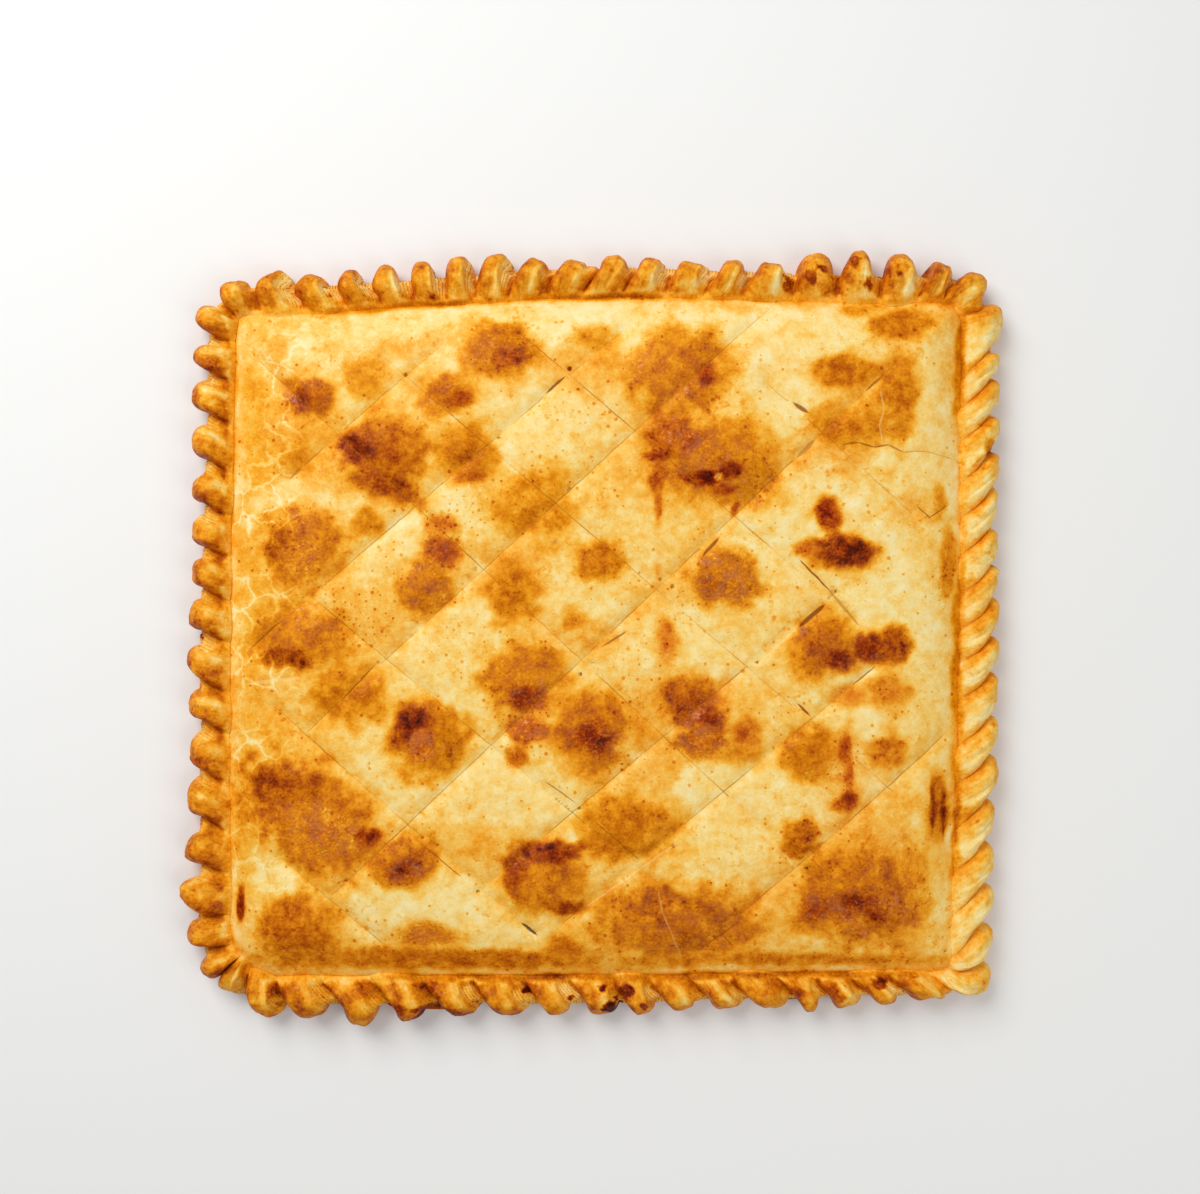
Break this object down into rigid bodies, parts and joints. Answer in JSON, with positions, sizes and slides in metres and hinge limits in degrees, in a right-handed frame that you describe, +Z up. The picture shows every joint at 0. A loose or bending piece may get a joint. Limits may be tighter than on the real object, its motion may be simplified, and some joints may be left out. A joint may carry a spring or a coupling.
{
  "type": "turnover pastry",
  "caption": "Large square filled pastry, shut on all sides, with a domed lid scored in diamonds, oven-blistered spots and a thick folded rope edge.",
  "frame": {"origin": "middle of the outline's box, on the flat underside", "axes": "+Z up out of the lid, +X along the slightly longer side, +Y away from a person who looks down at it"},
  "size_m": [0.3866, 0.3678, 0.0289],
  "materials": {
    "crust": "satin, egg-washed baked crust"
  },
  "bodies": {
    "root": {"pastry": "crust"}
  },
  "joints": []
}
